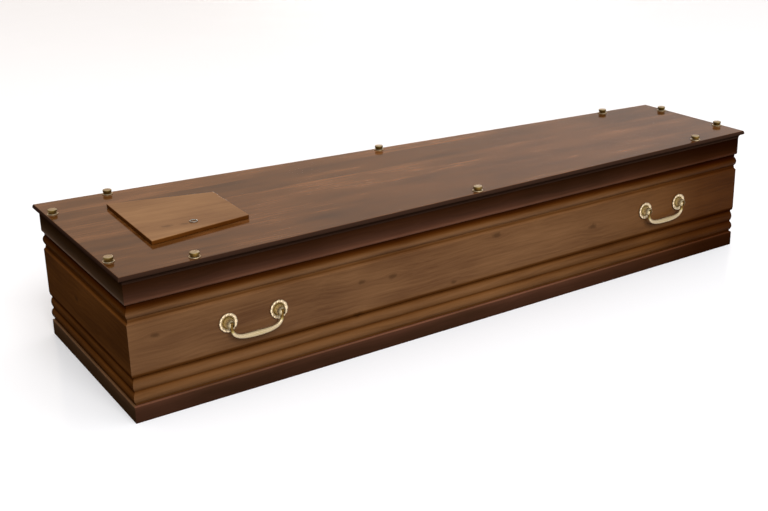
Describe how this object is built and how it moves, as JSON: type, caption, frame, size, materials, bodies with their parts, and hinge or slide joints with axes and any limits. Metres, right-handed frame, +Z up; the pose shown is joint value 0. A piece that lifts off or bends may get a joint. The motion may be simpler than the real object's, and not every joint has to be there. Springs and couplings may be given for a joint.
{
  "type": "wooden coffin",
  "caption": "Tapered wooden coffin with milled mouldings, a flat screwed-down lid, a small lid board, brass lid screws and swinging brass bail handles.",
  "frame": {"origin": "middle of the coffin's footprint, on the surface it rests on", "axes": "+X from the head end to the foot end along the coffin, +Y to the far side, +Z up"},
  "size_m": [2.06, 0.6644, 0.3874],
  "materials": {
    "stained_pine": "walnut-brown stained pine under satin-gloss lacquer",
    "dark_stained_pine": "pine sprayed a dark brown stain under satin-gloss lacquer",
    "light_stained_pine": "pine stained a lighter orange brown under satin lacquer",
    "cast_brass": "pale satin cast brass",
    "nickel_plate": "satin nickel plate"
  },
  "bodies": {
    "box": {"floor_board": "stained_pine", "plinth_near": "dark_stained_pine", "plinth_far": "dark_stained_pine", "plinth_head": "dark_stained_pine", "plinth_foot": "dark_stained_pine", "side_board_near": "stained_pine", "side_board_far": "stained_pine", "head_board": "stained_pine", "foot_board": "stained_pine", "lid_rail_near": "dark_stained_pine", "lid_rail_far": "dark_stained_pine", "lid_rail_head": "dark_stained_pine", "lid_rail_foot": "dark_stained_pine", "lid_board": "stained_pine", "top_board": "light_stained_pine", "board_eyelet": "nickel_plate", "lid_screw_1": "cast_brass", "lid_screw_2": "cast_brass", "lid_screw_3": "cast_brass", "lid_screw_4": "cast_brass", "lid_screw_5": "cast_brass", "lid_screw_6": "cast_brass", "lid_screw_7": "cast_brass", "lid_screw_8": "cast_brass", "lid_screw_9": "cast_brass", "lid_screw_10": "cast_brass", "rosette_near_head_left": "cast_brass", "rosette_near_head_right": "cast_brass", "rosette_near_foot_left": "cast_brass", "rosette_near_foot_right": "cast_brass", "rosette_far_head_left": "cast_brass", "rosette_far_head_right": "cast_brass", "rosette_far_foot_left": "cast_brass", "rosette_far_foot_right": "cast_brass"},
    "near_head_handle": {"bail_near_head": "cast_brass"},
    "near_foot_handle": {"bail_near_foot": "cast_brass"},
    "far_head_handle": {"bail_far_head": "cast_brass"},
    "far_foot_handle": {"bail_far_foot": "cast_brass"}
  },
  "joints": [
    {"name": "near_head_swing", "type": "hinge", "parent": "box", "child": "near_head_handle", "pos_m": [-0.69303, -0.31962, 0.1948], "axis": [-0.9986, -0.053, 0], "range_deg": [-8, 95]},
    {"name": "near_foot_swing", "type": "hinge", "parent": "box", "child": "near_foot_handle", "pos_m": [0.69497, -0.24592, 0.1948], "axis": [-0.9986, -0.053, 0], "range_deg": [-8, 95]},
    {"name": "far_head_swing", "type": "hinge", "parent": "box", "child": "far_head_handle", "pos_m": [-0.69303, 0.31962, 0.1948], "axis": [0.9986, -0.053, 0], "range_deg": [-8, 95]},
    {"name": "far_foot_swing", "type": "hinge", "parent": "box", "child": "far_foot_handle", "pos_m": [0.69497, 0.24592, 0.1948], "axis": [0.9986, -0.053, 0], "range_deg": [-8, 95]}
  ]
}
